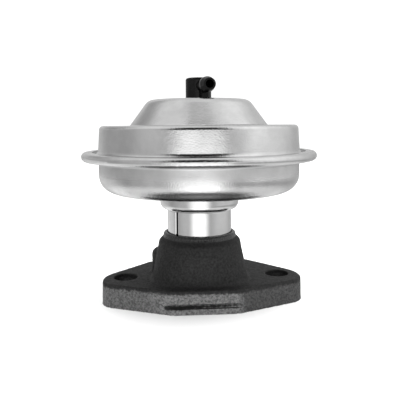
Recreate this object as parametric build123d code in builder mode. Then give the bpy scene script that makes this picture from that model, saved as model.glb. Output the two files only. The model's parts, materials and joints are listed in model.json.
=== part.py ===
from build123d import *
import math
import os

# Vacuum-operated exhaust gas recirculation valve, in millimetres.
# Origin: on the valve's axis, at the flange's mounting face. +Z is the way the valve lifts.
# X runs along the line through the two flange bolts, and -Y is the flange's long flat front.

# ---------------------------------------------------------------- driving dimensions
# cast-iron base: the flange plate
plate_t = 8.8              # flange thickness
bolt_spacing = 60.0        # between the two bolt holes
bolt_offset = 0.8          # bolt pattern's centre from the valve's axis, along X
bolt_r = 4.4               # clearance hole for an M8 bolt
end_reach = 8.8            # flange past each bolt hole's centre
front_y = 20.2             # valve axis to the front flat
back_y = 23.5              # valve axis to the back flat
front_flat_half = 12.1     # half the front flat's length
back_flat_half = 20.9      # half the back flat's length
end_front_y = 8.4          # where the blunt end meets the front slope
end_back_y = 2.7           # where the blunt end meets the back slope
front_corner_r = 7.0
back_corner_r = 4.0
end_front_corner_r = 7.7
end_back_corner_r = 12.0
end_margin = 1.0           # either side of a corner's place when it is picked
plate_edge_r = 0.7         # cast radius round the flange's top edge

# a shallow groove left by the mould's joint, across the front flat
groove_length = 29.0
groove_h = 1.3
groove_z = 2.9             # groove's centre above the mounting face
groove_depth = 0.9
groove_shift = 0.8         # groove's centre from the bolt pattern's centre

# cast-iron base: the tower
tower_half_x = 19.7        # tower foot, half its size along X
tower_half_y = 16.3        # and along Y
tower_corner_r = 9.5
tower_foot_r = 1.6         # cast fillet between tower and flange
foot_margin = 1.0          # how far past the tower its foot is looked for
shoulder_r = 16.9          # tower where it has turned round
shoulder_z = 19.2
knee_r = 16.2              # where its side bends in to the crest
knee_z = 23.1
knee_round = 1.5
crest_r = 14.45            # ring at the tower's crest, round the neck sleeve
crest_foot_z = 24.7
crest_foot_round = 0.7
crest_edge_r = 1.1
socket_depth = 2.3         # neck sleeve's foot below the crest

# gas ways inside the base
inlet_r = 5.5              # exhaust inlet, under the seat
seat_floor_z = 5.0         # ledge that the seat ring stands on
seat_ledge = 1.1           # ledge's width
seat_bore_r = 4.75
seat_top_z = 10.6
seat_chamfer = 1.2         # 45 degree seating face
chamber_floor_z = 10.0
outlet_r = 5.0             # gas outlet, beside the seat
outlet_distance = 13.3     # outlet's axis from the valve's axis
outlet_angle = 150.0       # its direction in plan
outlet_top_z = 16.0
bulge_wall = 2.7           # the tower's bulge round the outlet passage
bulge_roof = 2.5
bulge_edge_r = 2.6

# pintle, stem and guide
lift = 6.0                 # valve travel, closed to full open
lift_spare = 0.5           # pintle's hub to the deflector at full lift
seat_gap = 0.05            # pintle's cone off the seat's cone, as drawn
cone_play = 0.25           # pintle's throat inside the seat's bore
head_step = 0.3            # head's edge inside the seat's
head_t = 1.1
hub_wall = 1.6             # hub round the stem
hub_h = 1.3
metering_r = 2.0           # pintle's tip
metering_z = 5.3
stem_r = 2.4
stem_foot_z = 7.4          # stem's lower end, inside the pintle
running_clearance = 0.05   # stem in its bushing
stem_gap = 0.7             # stem through plates, washers and shields
deflector_t = 0.7
deflector_cup_r = 8.0
deflector_drop = 1.1       # cup's depth under its flange
deflector_bend_r = 0.5
carrier_flange_inset = 0.7 # carrier's flange inside the neck sleeve's outside
carrier_ledge = 0.6        # ledge of the base under the flange
carrier_flange_t = 2.5
press_fit = 0.02           # radial play drawn between pieces pressed together
carrier_wall = 4.0         # carrier's barrel round the bushing
bushing_wall = 2.55
bushing_foot = 0.5         # bushing's lower end above the carrier's underside
bushing_length = 10.8
packing_h = 3.0
retainer_t = 1.2

# neck
sleeve_r = 12.6
sleeve_t = 0.8
sleeve_length = 11.0
sleeve_fit = 0.05          # radial play of the sleeve in the counterbore
sleeve_lip_r = 0.35        # rolled edge at the sleeve's top
seam_gap = 0.9             # open seam of the rolled sleeve
seam_angle = -137.3        # seam's direction in plan
seam_edge_r = 0.5
collar_foot_inset = 1.4    # collar's turned-in foot, in from the sleeve's outside
collar_h = 4.9
collar_bend_r = 2.8        # round its foot, outside
collar_r = 15.5            # collar's top, under the bowl
collar_t = 0.8

# pressed-steel housings
sheet_t = 0.9
bowl_depth = 14.5          # underside of the bowl's centre to the rim
floor_margin = 0.7         # flat floor past the collar, before it starts to rise
bowl_floor_angle = 8.0     # the floor's rise, degrees
bowl_r = 39.15
bowl_corner_r = 6.8
bowl_bend_r = 2.0          # bend from the floor's flat into its slope
spigot_step = 2.0          # carrier's barrel to its spigot through the bowl's floor
spigot_play = 1.2          # spigot's bore round the stem
spigot_fit = 0.05
staked_reach = 1.4         # staked edge past the spigot
staked_h = 0.8
backing_width = 5.5
backing_t = 1.2
vent_r = 1.75              # breather holes in the bowl's floor
vent_circle_r = 25.0
vent_count = 3
rim_reach = 6.55           # outside of the rolled rim past the bowl's wall
hem_width = 4.1            # the rolled-over hem
hem_bend_r = 1.6           # outside radius of the rolled edge
hem_fit = 0.9              # flanges' edge to the inside of the hem's roll
rim_fillet_r = 1.2         # bowl's wall into the rim
cover_step = 0.25          # cover's wall at the rim past the bowl's
cover_draft = 0.55         # how far the wall leans in, rim to shelf
cover_foot_fillet = 1.9
shelf_h = 10.0             # cover's shelf above the rim
shelf_edge_r = 1.5
dome_foot_r = 27.15
dome_foot_fillet = 0.8
dome_top_r = 19.85         # where the cone would meet the top
dome_h = 10.1              # cover's top above its shelf
dome_edge_r = 4.2

# diaphragm stack
film_t = 0.7               # fabric-backed rubber
pack_h = 9.2               # bowl's centre to the diaphragm's, valve closed
film_dip = 2.6             # convolution's depth under the centre
film_gap = 0.85            # film's outer wall off the bowl's
film_lean = 1.2            # outer wall, from the rim in to the loop
film_loop_width = 5.4
film_step = 1.3            # loop's inner wall, in to the flat centre
film_bend_r = 1.4
film_rim_bend_r = 1.5
lower_plate_inset = 2.3    # plate's edge inside the film's flat centre
lower_plate_skirt = 2.2
upper_plate_inset = 1.0    # upper plate's edge inside the lower plate's
upper_plate_lip = 3.6
plate_bend_r = 1.4
shoulder_width = 3.1       # stem's shoulder under the plates
shoulder_disc_t = 1.3
neck_step = 0.4            # stem's radius less its neck's
neck_gap = 0.1
washer_width = 4.5
washer_t = 1.3
rivet_width = 1.4          # riveted head past the neck
rivet_h = 1.2

# spring
wire_r = 1.1
coil_r = 14.0
coil_turns = 5.5
spring_gap = 0.1           # spring's ends off the parts they bear on
locator_width = 5.2
locator_t = 0.6
locator_lip_h = 2.4        # lip that centres the spring
locator_play = 1.3         # lip's outside to the spring's wire
locator_bend_r = 0.4

# vacuum elbow
post_r = 5.1
post_h = 8.6
post_edge_r = 0.9
elbow_angle = -77.3        # nipple's direction in plan
nipple_h = 5.3             # nipple's axis above the cover
nipple_r = 2.3
nipple_tip = 15.0          # nipple's end from the valve's axis
land_r = 3.0               # the hose-grip ring
land_length = 1.5
land_start = 10.9          # ring's inner edge from the valve's axis
ring_back = 0.5            # chamfer behind the ring
tip_r = 2.35
nipple_bore_r = 1.6
bore_overrun = 0.3         # nipple's bore past the drop bore
rib_t = 2.4
rib_reach = 9.0
elbow_spigot_r = 3.0
elbow_spigot_h = 2.6       # spigot below the cover's top
elbow_hole_fit = 0.05
elbow_seal_width = 1.4
elbow_seal_t = 0.6
push_nut_width = 3.0
push_nut_t = 0.6

# ---------------------------------------------------------------- derived sizes
end_x = bolt_spacing / 2 + end_reach
carrier_flange_r = sleeve_r - carrier_flange_inset
counterbore_r = sleeve_r + sleeve_fit
bulge_r = outlet_r + bulge_wall
bulge_z = outlet_top_z + bulge_roof
foot_reach_x = outlet_distance + bulge_r
foot_reach_y = tower_half_y + foot_margin
seat_outer_r = inlet_r + seat_ledge
chamber_r = carrier_flange_r - carrier_ledge
seat_throat_z = seat_top_z - seat_chamfer
head_r = seat_outer_r - head_step
cone_r = seat_bore_r - cone_play
cone_rise = seat_throat_z - seat_bore_r + seat_gap * math.sqrt(2)
head_z = head_r + cone_rise
hub_top_z = head_z + head_t + hub_h
hub_r = stem_r + hub_wall
neck_r = stem_r - neck_step
shoulder_disc_r = stem_r + shoulder_width
rivet_r = neck_r + rivet_width
stem_bore_r = stem_r + running_clearance
bushing_r = stem_bore_r + bushing_wall
carrier_r = bushing_r + carrier_wall
spigot_r = carrier_r - spigot_step
spigot_bore_r = stem_r + spigot_play
staked_r = spigot_r + staked_reach
stem_way_r = stem_r + stem_gap
deflector_z = hub_top_z + lift + lift_spare
chamber_top_z = deflector_z + deflector_drop
carrier_z0 = chamber_top_z + deflector_t
sleeve_z0 = carrier_z0 + carrier_flange_t
crest_z = sleeve_z0 + socket_depth
sleeve_z1 = sleeve_z0 + sleeve_length
bowl_floor_z = sleeve_z1 + collar_h
collar_foot_r = sleeve_r - collar_foot_inset
bowl_floor_r = collar_r + floor_margin
bushing_z0 = carrier_z0 + bushing_foot
packing_z = bushing_z0 + bushing_length
retainer_z = packing_z + packing_h
guide_top_z = retainer_z + retainer_t
floor_hole_r = spigot_r + spigot_fit
backing_r = spigot_r + backing_width
backing_z = bowl_floor_z + sheet_t
staked_z = backing_z + backing_t
bowl_corner_z = bowl_floor_z + (bowl_r - bowl_floor_r) * math.tan(math.radians(bowl_floor_angle))
rim_z0 = bowl_floor_z + bowl_depth
rim_z1 = rim_z0 + 3 * sheet_t + film_t
rim_r = bowl_r + rim_reach
hem_r = rim_r - hem_width
cover_foot_r = bowl_r + cover_step
cover_top_r = cover_foot_r - cover_draft
film_rim_z = rim_z0 + sheet_t
flange_z1 = rim_z1 - sheet_t
flange_edge_r = rim_r - sheet_t - hem_fit
shelf_z = rim_z1 + shelf_h
dome_top_z = shelf_z + dome_h
pack_z = bowl_floor_z + pack_h
loop_z = pack_z - film_dip
film_wall_r = bowl_r - sheet_t - film_gap
film_loop_r1 = film_wall_r - film_lean
film_loop_r0 = film_loop_r1 - film_loop_width
film_flat_r = film_loop_r0 - film_step
lower_plate_r = film_flat_r - lower_plate_inset
upper_plate_r = lower_plate_r - upper_plate_inset
neck_hole_r = neck_r + neck_gap
lower_plate_z = pack_z - sheet_t
shoulder_disc_z = lower_plate_z - shoulder_disc_t
upper_plate_z = pack_z + film_t
washer_z = upper_plate_z + sheet_t
washer_r = neck_r + washer_width
rivet_z = washer_z + washer_t
dome_under_z = dome_top_z - sheet_t
post_top_z = dome_top_z + post_h
nipple_z = dome_top_z + nipple_h
cover_hole_r = elbow_spigot_r + elbow_hole_fit
elbow_seal_r = elbow_spigot_r + elbow_seal_width
push_nut_r = elbow_spigot_r + push_nut_width
locator_lip_r = coil_r - wire_r - locator_play
locator_r = locator_lip_r + locator_width
spring_z0 = washer_z + spring_gap
spring_z1 = dome_under_z - locator_t - spring_gap
coil_h = spring_z1 - spring_z0 - 2 * wire_r

os.makedirs("parts", exist_ok=True)


def ring(inner_r, outer_r, z0, z1):
    """A flat ring between two radii and two heights."""
    with BuildPart() as made:
        with BuildSketch(Plane.XY.offset(z0)):
            Circle(outer_r)
            Circle(inner_r, mode=Mode.SUBTRACT)
        extrude(amount=z1 - z0)
    return made


def turned(*points):
    """A turned piece: its closed half section, as (radius, height) points, round the valve's axis."""
    with BuildPart() as made:
        with BuildSketch(Plane.XZ):
            with BuildLine():
                Polyline(*points, close=True)
            make_face()
        revolve(axis=Axis.Z)
    return made


def pressed(points, bends, thickness, side):
    """A pressed sheet piece: one face of its half section with its bend radii, and the sheet's side."""
    with BuildPart() as made:
        with BuildSketch(Plane.XZ):
            with BuildLine():
                FilletPolyline(*points, radius=bends)
                offset(amount=thickness, side=side)
            make_face()
        revolve(axis=Axis.Z)
    return made


# ---------------------------------------------------------------- cast-iron base
with BuildPart() as bulge:
    with BuildSketch(Plane.XY.offset(plate_t / 2)):
        with PolarLocations(outlet_distance, 1, start_angle=outlet_angle):
            Circle(bulge_r)
    extrude(amount=bulge_z - plate_t / 2)
    fillet(bulge.edges().group_by(Axis.Z)[-1], bulge_edge_r)

with BuildPart() as base_casting:
    # flange: a long hexagon with blunt ends, wider at the back than at the front
    with BuildSketch() as plan:
        with BuildLine():
            Polyline(
                (bolt_offset - front_flat_half, -front_y),
                (bolt_offset + front_flat_half, -front_y),
                (bolt_offset + end_x, -end_front_y),
                (bolt_offset + end_x, end_back_y),
                (bolt_offset + back_flat_half, back_y),
                (bolt_offset - back_flat_half, back_y),
                (bolt_offset - end_x, end_back_y),
                (bolt_offset - end_x, -end_front_y),
                close=True,
            )
        make_face()
        fillet(plan.vertices().group_by(Axis.Y)[0], front_corner_r)
        fillet(plan.vertices().group_by(Axis.Y)[-1], back_corner_r)
        front_y0, front_y1 = -end_front_y - end_margin, -end_front_y + end_margin
        back_y0, back_y1 = end_back_y - end_margin, end_back_y + end_margin
        fillet(plan.vertices().filter_by_position(Axis.Y, front_y0, front_y1), end_front_corner_r)
        fillet(plan.vertices().filter_by_position(Axis.Y, back_y0, back_y1), end_back_corner_r)
    extrude(amount=plate_t)
    fillet(base_casting.edges().group_by(Axis.Z)[-1], plate_edge_r)

    # tower: squarish foot, round shoulder and a rounded crest
    with BuildSketch(Plane.XY.offset(plate_t / 2)):
        RectangleRounded(2 * tower_half_x, 2 * tower_half_y, tower_corner_r)
    with BuildSketch(Plane.XY.offset(shoulder_z)):
        Circle(shoulder_r)
    loft()
    with BuildSketch(Plane.XZ) as crest:
        with BuildLine():
            Polyline(
                (0, shoulder_z),
                (shoulder_r, shoulder_z),
                (knee_r, knee_z),
                (crest_r, crest_foot_z),
                (crest_r, crest_z),
                (0, crest_z),
                close=True,
            )
        make_face()
        fillet(crest.vertices().sort_by_distance((knee_r, knee_z, 0))[0], knee_round)
        fillet(crest.vertices().sort_by_distance((crest_r, crest_foot_z, 0))[0], crest_foot_round)
        fillet(crest.vertices().sort_by_distance((crest_r, crest_z, 0))[0], crest_edge_r)
    revolve(axis=Axis.Z)

    # bulge round the outlet passage, and the cast fillet at the foot of both
    add(bulge.part)
    foot = base_casting.edges().filter_by_position(Axis.Z, plate_t, plate_t)
    foot = foot.filter_by_position(Axis.X, -foot_reach_x, foot_reach_x)
    foot = foot.filter_by_position(Axis.Y, -foot_reach_y, foot_reach_y)
    fillet(foot, tower_foot_r)

    # gas ways, and the counterbores for the guide and the neck sleeve
    with BuildSketch(Plane.XZ):
        with BuildLine():
            Polyline(
                (0, 0),
                (inlet_r, 0),
                (inlet_r, seat_floor_z),
                (seat_outer_r, seat_floor_z),
                (seat_outer_r, chamber_floor_z),
                (chamber_r, chamber_floor_z),
                (chamber_r, chamber_top_z),
                (carrier_flange_r, chamber_top_z),
                (carrier_flange_r, sleeve_z0),
                (counterbore_r, sleeve_z0),
                (counterbore_r, crest_z),
                (0, crest_z),
                close=True,
            )
        make_face()
    revolve(axis=Axis.Z, mode=Mode.SUBTRACT)
    with BuildSketch():
        with PolarLocations(outlet_distance, 1, start_angle=outlet_angle):
            Circle(outlet_r)
    extrude(amount=outlet_top_z, mode=Mode.SUBTRACT)

    # bolt holes and the groove in the front flat
    with Locations((bolt_offset, 0, plate_t)):
        with GridLocations(bolt_spacing, 0, 2, 1):
            Hole(bolt_r)
    with BuildSketch(Plane.XZ.offset(front_y - groove_depth)):
        with Locations((bolt_offset + groove_shift, groove_z)):
            SlotOverall(groove_length, groove_h)
    extrude(amount=2 * groove_depth, mode=Mode.SUBTRACT)
base_casting.part.label = "base_casting"
export_step(base_casting.part, "parts/base_casting.step")

# ---------------------------------------------------------------- seat, pintle and stem
# hardened ring pressed into the inlet, with a 45 degree seating face
valve_seat = turned(
    (seat_bore_r, seat_floor_z),
    (seat_outer_r - press_fit, seat_floor_z),
    (seat_outer_r - press_fit, seat_top_z),
    (seat_bore_r + seat_chamfer, seat_top_z),
    (seat_bore_r, seat_throat_z),
)
valve_seat.part.label = "valve_seat"
export_step(valve_seat.part, "parts/valve_seat.step")

# pintle: metering taper, seating cone, head and the hub that holds the stem
pintle = turned(
    (0, metering_z),
    (metering_r, metering_z),
    (cone_r, cone_r + cone_rise),
    (head_r, head_z),
    (head_r, head_z + head_t),
    (hub_r, head_z + head_t),
    (hub_r, hub_top_z),
    (stem_r, hub_top_z),
    (stem_r, stem_foot_z),
    (0, stem_foot_z),
)
pintle.part.label = "pintle"
export_step(pintle.part, "parts/pintle.step")

# stem: guide length, shoulder under the plates, neck through them and a riveted top
with BuildPart() as valve_stem:
    with BuildSketch(Plane.XZ) as stem_section:
        with BuildLine():
            Polyline(
                (0, stem_foot_z),
                (stem_r, stem_foot_z),
                (stem_r, shoulder_disc_z),
                (shoulder_disc_r, shoulder_disc_z),
                (shoulder_disc_r, lower_plate_z),
                (neck_r, lower_plate_z),
                (neck_r, rivet_z),
                (rivet_r, rivet_z),
                (rivet_r, rivet_z + rivet_h),
                (0, rivet_z + rivet_h),
                close=True,
            )
        make_face()
        fillet(stem_section.vertices().group_by(Axis.Y)[-1].sort_by(Axis.X)[-1], rivet_h / 2)
    revolve(axis=Axis.Z)
valve_stem.part.label = "valve_stem"
export_step(valve_stem.part, "parts/valve_stem.step")

# sheet cup that keeps the gas off the guide, clamped on the chamber's ledge
gas_deflector = pressed(
    [
        (stem_way_r, deflector_z),
        (deflector_cup_r, deflector_z),
        (deflector_cup_r, chamber_top_z),
        (carrier_flange_r - press_fit, chamber_top_z),
    ],
    [deflector_bend_r, 0],
    deflector_t,
    Side.LEFT,
)
gas_deflector.part.label = "gas_deflector"
export_step(gas_deflector.part, "parts/gas_deflector.step")

# steel standoff: flange pressed in the base, barrel round the guide, spigot staked in the bowl
stem_carrier = turned(
    (bushing_r, carrier_z0),
    (carrier_flange_r - press_fit, carrier_z0),
    (carrier_flange_r - press_fit, sleeve_z0),
    (carrier_r, sleeve_z0),
    (carrier_r, bowl_floor_z),
    (spigot_r, bowl_floor_z),
    (spigot_r, staked_z),
    (staked_r, staked_z),
    (staked_r, staked_z + staked_h),
    (spigot_bore_r, staked_z + staked_h),
    (spigot_bore_r, guide_top_z),
    (bushing_r, guide_top_z),
)
stem_carrier.part.label = "stem_carrier"
export_step(stem_carrier.part, "parts/stem_carrier.step")

# the stem's bushing, its packing and the washer over it
stem_bushing = ring(stem_bore_r, bushing_r - press_fit, bushing_z0, packing_z)
stem_bushing.part.label = "stem_bushing"
export_step(stem_bushing.part, "parts/stem_bushing.step")

stem_packing = ring(stem_bore_r, bushing_r - press_fit, packing_z, retainer_z)
stem_packing.part.label = "stem_packing"
export_step(stem_packing.part, "parts/stem_packing.step")

packing_retainer = ring(stem_way_r, bushing_r - press_fit, retainer_z, guide_top_z)
packing_retainer.part.label = "packing_retainer"
export_step(packing_retainer.part, "parts/packing_retainer.step")

# ---------------------------------------------------------------- neck
# sleeve: sheet rolled to a tube, with an open seam and rounded edges
with BuildPart() as neck_sleeve:
    with BuildSketch(Plane.XY.offset(sleeve_z0)):
        Circle(sleeve_r)
        Circle(sleeve_r - sleeve_t, mode=Mode.SUBTRACT)
        with PolarLocations(sleeve_r, 1, start_angle=seam_angle):
            Rectangle(4 * sleeve_t, seam_gap, mode=Mode.SUBTRACT)
    extrude(amount=sleeve_z1 - sleeve_z0)
    beyond_seam = Vector(2 * sleeve_r, 0, sleeve_z0).rotate(Axis.Z, seam_angle)
    fillet(neck_sleeve.edges().filter_by(Axis.Z).sort_by_distance(beyond_seam)[:2], seam_edge_r)
    top_edges = neck_sleeve.edges().group_by(Axis.Z)[-1]
    fillet(top_edges.filter_by(GeomType.CIRCLE).sort_by(SortBy.RADIUS)[-1], sleeve_lip_r)
neck_sleeve.part.label = "neck_sleeve"
export_step(neck_sleeve.part, "parts/neck_sleeve.step")

# collar: drawn cup between the sleeve's top and the bowl
standoff_collar = pressed(
    [
        (collar_foot_r, sleeve_z1),
        (collar_r, sleeve_z1),
        (collar_r, bowl_floor_z),
    ],
    [collar_bend_r],
    collar_t,
    Side.LEFT,
)
standoff_collar.part.label = "standoff_collar"
export_step(standoff_collar.part, "parts/standoff_collar.step")

# ---------------------------------------------------------------- pressed-steel housings
# lower housing: dished floor, upright wall, and the rim rolled over the cover's flange
with BuildPart() as lower_housing:
    with BuildSketch(Plane.XZ):
        with BuildLine():
            FilletPolyline(
                (floor_hole_r, bowl_floor_z),
                (bowl_floor_r, bowl_floor_z),
                (bowl_r, bowl_corner_z),
                (bowl_r, rim_z0),
                (rim_r, rim_z0),
                (rim_r, rim_z1),
                (hem_r, rim_z1),
                radius=[bowl_bend_r, bowl_corner_r, rim_fillet_r, hem_bend_r, hem_bend_r],
            )
            offset(amount=sheet_t, side=Side.LEFT)
        make_face()
    revolve(axis=Axis.Z)
    with BuildSketch(Plane.XY.offset(bowl_floor_z)):
        with PolarLocations(vent_circle_r, vent_count, start_angle=90):
            Circle(vent_r)
    extrude(amount=rim_z0 - bowl_floor_z, mode=Mode.SUBTRACT)
lower_housing.part.label = "lower_housing"
export_step(lower_housing.part, "parts/lower_housing.step")

# washer under the staked spigot
backing_washer = ring(floor_hole_r, backing_r, backing_z, staked_z)
backing_washer.part.label = "backing_washer"
export_step(backing_washer.part, "parts/backing_washer.step")

# upper housing: domed top, flat shelf, drafted wall and the flange held in the rim
upper_housing = pressed(
    [
        (cover_hole_r, dome_top_z),
        (dome_top_r, dome_top_z),
        (dome_foot_r, shelf_z),
        (cover_top_r, shelf_z),
        (cover_foot_r, flange_z1),
        (flange_edge_r, flange_z1),
    ],
    [dome_edge_r, dome_foot_fillet, shelf_edge_r, cover_foot_fillet],
    sheet_t,
    Side.RIGHT,
)
upper_housing.part.label = "upper_housing"
export_step(upper_housing.part, "parts/upper_housing.step")

# ---------------------------------------------------------------- diaphragm and its plates
diaphragm = pressed(
    [
        (neck_hole_r, pack_z),
        (film_flat_r, pack_z),
        (film_loop_r0, loop_z),
        (film_loop_r1, loop_z),
        (film_wall_r, film_rim_z),
        (flange_edge_r, film_rim_z),
    ],
    [film_bend_r, film_bend_r, film_bend_r, film_rim_bend_r],
    film_t,
    Side.LEFT,
)
diaphragm.part.label = "diaphragm"
export_step(diaphragm.part, "parts/diaphragm.step")

lower_plate = pressed(
    [
        (neck_hole_r, pack_z),
        (lower_plate_r, pack_z),
        (lower_plate_r, lower_plate_z - lower_plate_skirt),
    ],
    [plate_bend_r],
    sheet_t,
    Side.RIGHT,
)
lower_plate.part.label = "lower_plate"
export_step(lower_plate.part, "parts/lower_plate.step")

upper_plate = pressed(
    [
        (neck_hole_r, upper_plate_z),
        (upper_plate_r, upper_plate_z),
        (upper_plate_r, washer_z + upper_plate_lip),
    ],
    [plate_bend_r],
    sheet_t,
    Side.LEFT,
)
upper_plate.part.label = "upper_plate"
export_step(upper_plate.part, "parts/upper_plate.step")

plate_washer = ring(neck_hole_r, washer_r, washer_z, rivet_z)
plate_washer.part.label = "plate_washer"
export_step(plate_washer.part, "parts/plate_washer.step")

# ---------------------------------------------------------------- return spring
with BuildPart() as main_spring:
    with BuildLine() as coil:
        Helix(pitch=coil_h / coil_turns, height=coil_h, radius=coil_r, center=(0, 0, spring_z0 + wire_r))
    with BuildSketch(coil.line ^ 0):
        Circle(wire_r)
    sweep(is_frenet=True)
main_spring.part.label = "main_spring"
export_step(main_spring.part, "parts/main_spring.step")

spring_locator = pressed(
    [
        (locator_lip_r, dome_under_z - locator_lip_h),
        (locator_lip_r, dome_under_z),
        (locator_r, dome_under_z),
    ],
    [locator_bend_r],
    locator_t,
    Side.RIGHT,
)
spring_locator.part.label = "spring_locator"
export_step(spring_locator.part, "parts/spring_locator.step")

# ---------------------------------------------------------------- vacuum elbow
# moulded elbow: round post, hose nipple with its grip ring, a rib under the nipple, and a spigot
nipple_way = Vector(1, 0, 0).rotate(Axis.Z, elbow_angle)
nipple_side = Vector(0, -1, 0).rotate(Axis.Z, elbow_angle)
nipple_plane = Plane(origin=(0, 0, nipple_z), x_dir=nipple_way, z_dir=nipple_side)
nipple_axis = Axis((0, 0, nipple_z), nipple_way)
with BuildPart() as vacuum_elbow:
    with BuildSketch(Plane.XY.offset(dome_top_z)):
        Circle(post_r)
    extrude(amount=post_top_z - dome_top_z)
    fillet(vacuum_elbow.edges().group_by(Axis.Z)[-1], post_edge_r)
    with BuildSketch(nipple_plane):
        with BuildLine():
            Polyline(
                (0, 0),
                (0, nipple_r),
                (land_start - ring_back, nipple_r),
                (land_start, land_r),
                (land_start + land_length, land_r),
                (nipple_tip, tip_r),
                (nipple_tip, 0),
                close=True,
            )
        make_face()
    revolve(axis=nipple_axis)
    with BuildSketch(nipple_plane):
        with BuildLine():
            Polyline(
                (0, 0),
                (rib_reach, 0),
                (rib_reach, dome_top_z - nipple_z),
                (0, dome_top_z - nipple_z),
                close=True,
            )
        make_face()
    extrude(amount=rib_t / 2, both=True)
    with BuildSketch(Plane.XY.offset(dome_top_z)):
        Circle(elbow_seal_r)
    extrude(amount=elbow_seal_t, mode=Mode.SUBTRACT)
    with BuildSketch(Plane.XY.offset(dome_top_z - elbow_spigot_h)):
        Circle(elbow_spigot_r)
    extrude(amount=elbow_spigot_h + elbow_seal_t)
    # the air way: down the post, and out through the nipple
    with BuildSketch(Plane.XY.offset(dome_top_z - elbow_spigot_h)):
        Circle(nipple_bore_r)
    extrude(amount=elbow_spigot_h + nipple_z - dome_top_z, mode=Mode.SUBTRACT)
    with BuildSketch(nipple_plane):
        with BuildLine():
            Polyline(
                (-nipple_bore_r - bore_overrun, 0),
                (-nipple_bore_r - bore_overrun, nipple_bore_r),
                (nipple_tip, nipple_bore_r),
                (nipple_tip, 0),
                close=True,
            )
        make_face()
    revolve(axis=nipple_axis, mode=Mode.SUBTRACT)
vacuum_elbow.part.label = "vacuum_elbow"
export_step(vacuum_elbow.part, "parts/vacuum_elbow.step")

elbow_seal = ring(elbow_spigot_r, elbow_seal_r, dome_top_z, dome_top_z + elbow_seal_t)
elbow_seal.part.label = "elbow_seal"
export_step(elbow_seal.part, "parts/elbow_seal.step")

# push-on nut that holds the elbow's spigot under the cover
elbow_push_nut = ring(elbow_spigot_r, push_nut_r, dome_under_z - push_nut_t, dome_under_z)
elbow_push_nut.part.label = "elbow_push_nut"
export_step(elbow_push_nut.part, "parts/elbow_push_nut.step")
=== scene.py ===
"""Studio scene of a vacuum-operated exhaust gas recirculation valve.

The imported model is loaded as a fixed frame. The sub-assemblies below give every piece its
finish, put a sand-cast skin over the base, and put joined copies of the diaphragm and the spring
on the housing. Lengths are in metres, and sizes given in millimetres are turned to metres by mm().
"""

import json
import logging
import math
from dataclasses import dataclass
from enum import Enum
from typing import Any, Dict, Optional, Tuple, Union

import bmesh
import bpy
from mathutils import Matrix, Vector

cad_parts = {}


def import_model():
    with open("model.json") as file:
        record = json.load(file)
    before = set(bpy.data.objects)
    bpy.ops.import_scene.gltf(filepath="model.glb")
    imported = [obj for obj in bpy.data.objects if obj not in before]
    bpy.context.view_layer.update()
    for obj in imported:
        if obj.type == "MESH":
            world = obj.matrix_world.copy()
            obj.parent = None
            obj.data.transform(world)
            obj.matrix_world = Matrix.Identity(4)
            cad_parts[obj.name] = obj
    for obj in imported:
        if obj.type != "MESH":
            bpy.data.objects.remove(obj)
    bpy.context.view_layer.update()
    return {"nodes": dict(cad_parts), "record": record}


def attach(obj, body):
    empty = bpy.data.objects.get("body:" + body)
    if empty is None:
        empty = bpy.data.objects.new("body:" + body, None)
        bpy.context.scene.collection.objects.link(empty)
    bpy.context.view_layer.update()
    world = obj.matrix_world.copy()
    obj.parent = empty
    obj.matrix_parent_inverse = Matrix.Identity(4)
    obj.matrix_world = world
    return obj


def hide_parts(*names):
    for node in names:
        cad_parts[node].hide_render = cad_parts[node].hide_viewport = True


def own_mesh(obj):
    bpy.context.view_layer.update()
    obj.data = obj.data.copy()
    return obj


LOG = logging.getLogger("egr_valve")

Colour = Tuple[float, float, float, float]
Point = Tuple[float, float, float]
Span = Tuple[float, float]
Nodes = Dict[str, bpy.types.Object]
Socket = bpy.types.NodeSocket
Tree = bpy.types.NodeTree

# a colour mix keeps its sockets at these places, behind those for numbers and vectors
MIX_SHARE, MIX_UNDER, MIX_OVER, MIX_RESULT = 0, 6, 7, 2
# nearly all values of a noise texture lie between these two
NOISE_SPAN = {"From Min": 0.3, "From Max": 0.7}
# points of a CAD mesh nearer than this, in metres, are one point
SAME_POINT = 1e-6


class Body(str, Enum):
    """The two rigid bodies of the valve."""

    HOUSING = "housing"
    VALVE = "valve"


def mm(value: float) -> float:
    """Turns millimetres into metres."""
    return value / 1000.0


def linear(colour: str) -> Colour:
    """Turns an sRGB hex colour into linear red, green, blue and alpha.

    Args:
        colour: Six hex digits.

    Returns:
        The linear colour, with an alpha of one.
    """
    channels = [int(colour[i : i + 2], 16) / 255.0 for i in (0, 2, 4)]
    made = [c / 12.92 if c <= 0.04045 else ((c + 0.055) / 1.055) ** 2.4 for c in channels]
    return (made[0], made[1], made[2], 1.0)


def add_node(
    tree: Tree,
    kind: str,
    inputs: Optional[Dict[Union[int, str], Any]] = None,
    **settings: Any,
) -> bpy.types.Node:
    """Adds one node with its settings, its input values and its incoming links.

    Args:
        tree: The node tree that gets the node.
        kind: The node's type name.
        inputs: By the input's name or index, its value or the socket that feeds it.
        **settings: Attributes of the node itself.

    Returns:
        The new node.
    """
    node = tree.nodes.new(kind)
    for name, value in settings.items():
        setattr(node, name, value)
    for key, given in (inputs or {}).items():
        if isinstance(given, Socket):
            tree.links.new(given, node.inputs[key])
        else:
            node.inputs[key].default_value = given
    return node


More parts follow.
